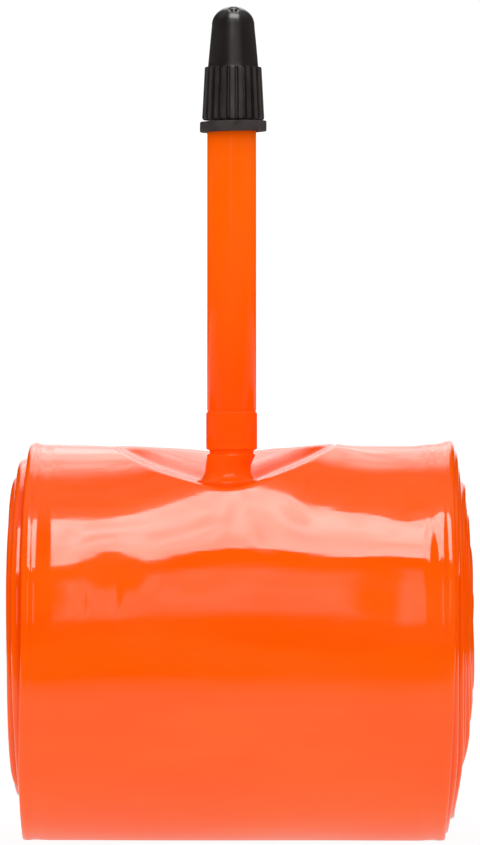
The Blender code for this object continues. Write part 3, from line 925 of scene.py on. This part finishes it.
def stage_floor():
    """A pale glowing table top whose front edge fades out."""
    material, shader = new_material("floor_paper", (0.06, 0.06, 0.06), 0.9)
    shader.inputs["Specular IOR Level"].default_value = 0.0
    shader.inputs["Emission Color"].default_value = (1.0, 1.0, 1.0, 1.0)
    tree = material.node_tree
    rays = tree.nodes.new("ShaderNodeLightPath")
    dimmed = math_node(tree, "MULTIPLY", rays.outputs["Is Glossy Ray"], FLOOR_DIMMED)
    glow = math_node(tree, "SUBTRACT", FLOOR_GLOW, dimmed)
    tree.links.new(glow, shader.inputs["Emission Strength"])
    geometry = tree.nodes.new("ShaderNodeNewGeometry")
    parts = tree.nodes.new("ShaderNodeSeparateXYZ")
    tree.links.new(geometry.outputs["Position"], parts.inputs["Vector"])
    fade = spread(tree, parts.outputs["Y"], FLOOR_FRONT, FLOOR_SOLID, 0.0, 1.0)
    tree.links.new(fade, shader.inputs["Alpha"])
    points = [
        (-FLOOR_SIDE, FLOOR_FRONT, 0.0),
        (FLOOR_SIDE, FLOOR_FRONT, 0.0),
        (FLOOR_SIDE, FLOOR_BACK, 0.0),
        (-FLOOR_SIDE, FLOOR_BACK, 0.0),
    ]
    floor = add_mesh("floor", points, [(0, 1, 2, 3)], material)


def box_window(tree, value, low, high, soft):
    """1 between low and high, easing to 0 over soft on each side."""
    rise = spread(tree, value, low - soft / 2, low + soft / 2, 0.0, 1.0)
    fall = spread(tree, value, high - soft / 2, high + soft / 2, 1.0, 0.0)
    return math_node(tree, "MULTIPLY", rise, fall)


SHELL_RADIUS = 0.5
SHELL_SIDE = 0.6
SHELL_STEPS = 90

# Bright zones of the studio: elevation range, its softness, X range, its softness, radiance.
SHELL_ZONES = [
    (48.5, 77.5, 1.0, -0.115, 0.2, 0.03, 7.2),
    (62.0, 77.5, 24.0, -0.115, 0.2, 0.03, 1.9),
    (18.0, 39.5, 5.0, -0.085, 0.03, 0.02, 1.1),
    (113.0, 152.0, 14.0, -0.15, 0.15, 0.1, 2.4),
    (152.0, 200.0, 14.0, -0.15, 0.15, 0.1, 1.2),
    (78.0, 112.0, 30.0, -0.58, 0.58, 0.05, 0.4),
]


def studio_shell():
    """A half tunnel of uneven soft lights round the roll's axis, seen only in reflections."""
    points = []
    for step in range(SHELL_STEPS + 1):
        angle = math.pi * (1.1 * step / SHELL_STEPS - 0.05)
        y = -SHELL_RADIUS * math.cos(angle)
        z = ROLL_Z + SHELL_RADIUS * math.sin(angle)
        points += [(-SHELL_SIDE, y, z), (SHELL_SIDE, y, z)]
    faces = [(2 * step, 2 * step + 2, 2 * step + 3, 2 * step + 1) for step in range(SHELL_STEPS)]
    material = bpy.data.materials.new("studio_lights")
    material.use_nodes = True
    tree = material.node_tree
    tree.nodes.clear()
    geometry = tree.nodes.new("ShaderNodeNewGeometry")
    parts = tree.nodes.new("ShaderNodeSeparateXYZ")
    tree.links.new(geometry.outputs["Position"], parts.inputs["Vector"])
    height = math_node(tree, "SUBTRACT", parts.outputs["Z"], ROLL_Z)
    toward = math_node(tree, "MULTIPLY", parts.outputs["Y"], -1.0)
    angle = math_node(tree, "ARCTAN2", height, toward)
    elevation = math_node(tree, "MULTIPLY", angle, 180.0 / math.pi)
    total = None
    for low, high, soft, left, right, side_soft, radiance in SHELL_ZONES:
        zone = box_window(tree, elevation, low, high, soft)
        side = box_window(tree, parts.outputs["X"], left, right, side_soft)
        lit = math_node(tree, "MULTIPLY", math_node(tree, "MULTIPLY", zone, side), radiance)
        total = lit if total is None else math_node(tree, "ADD", total, lit)
    uneven = spread(tree, noise(tree, (55.0, 14.0, 14.0)), 0.35, 0.65, 0.8, 1.2)
    emission = tree.nodes.new("ShaderNodeEmission")
    tree.links.new(math_node(tree, "MULTIPLY", total, uneven), emission.inputs["Strength"])
    output = tree.nodes.new("ShaderNodeOutputMaterial")
    tree.links.new(emission.outputs["Emission"], output.inputs["Surface"])
    shell = add_mesh("studio_shell", points, faces, material)
    shell.visible_camera = False
    shell.visible_diffuse = False
    shell.visible_shadow = False
    shell.visible_transmission = False


def studio():
    """White all round; reflections see it only behind the object, between two dark flags."""
    world = bpy.data.worlds.new("studio")
    bpy.context.scene.world = world
    world.use_nodes = True
    tree = world.node_tree
    background = tree.nodes["Background"]
    background.inputs["Color"].default_value = (1.0, 1.0, 1.0, 1.0)
    place = tree.nodes.new("ShaderNodeTexCoord")
    parts = tree.nodes.new("ShaderNodeSeparateXYZ")
    tree.links.new(place.outputs["Generated"], parts.inputs["Vector"])
    behind = spread(tree, parts.outputs["Y"], 0.7, 0.97, 0.0, 0.9)
    aside = math_node(tree, "ABSOLUTE", parts.outputs["X"], 0.0)
    open_middle = spread(tree, aside, 0.12, 0.42, 1.0, 0.1)
    rays = tree.nodes.new("ShaderNodeLightPath")
    mirror = math_node(tree, "MULTIPLY", behind, open_middle)
    mirror = math_node(tree, "MULTIPLY", mirror, rays.outputs["Is Glossy Ray"])
    plain = math_node(tree, "SUBTRACT", 1.0, rays.outputs["Is Glossy Ray"])
    plain = math_node(tree, "MULTIPLY", plain, 1.07)
    tree.links.new(math_node(tree, "ADD", mirror, plain), background.inputs["Strength"])
    studio_shell()


def make_camera():
    distance = 0.9
    yaw = math.radians(1.3)
    sensor = 36.0
    tall = 107.49 * MM
    target = Vector((0.0, 0.0, 52.73 * MM))
    data = bpy.data.cameras.new("camera")
    data.sensor_width = sensor
    data.lens = sensor * distance / tall
    camera = bpy.data.objects.new("camera", data)
    bpy.context.scene.collection.objects.link(camera)
    camera.location = target + Vector((distance * math.sin(yaw), -distance * math.cos(yaw), 0.0))
    camera.rotation_euler = (target - camera.location).to_track_quat("-Z", "Y").to_euler()
    data.clip_start = 0.01
    data.clip_end = 20.0
    bpy.context.scene.camera = camera


def build():
    film = film_material()
    plastic = stem_material()
    rolled_film(film)
    patch(film)
    stem(plastic)
    dust_cap(cap_material())
    stem_ring(rubber_material("ring_rubber", (0.024, 0.019, 0.017), (0.04, 0.032, 0.03)))
    dress_cad_nodes()
    stage_floor()
    studio()
    make_camera()
    bpy.context.scene.view_settings.view_transform = "Standard"


build()
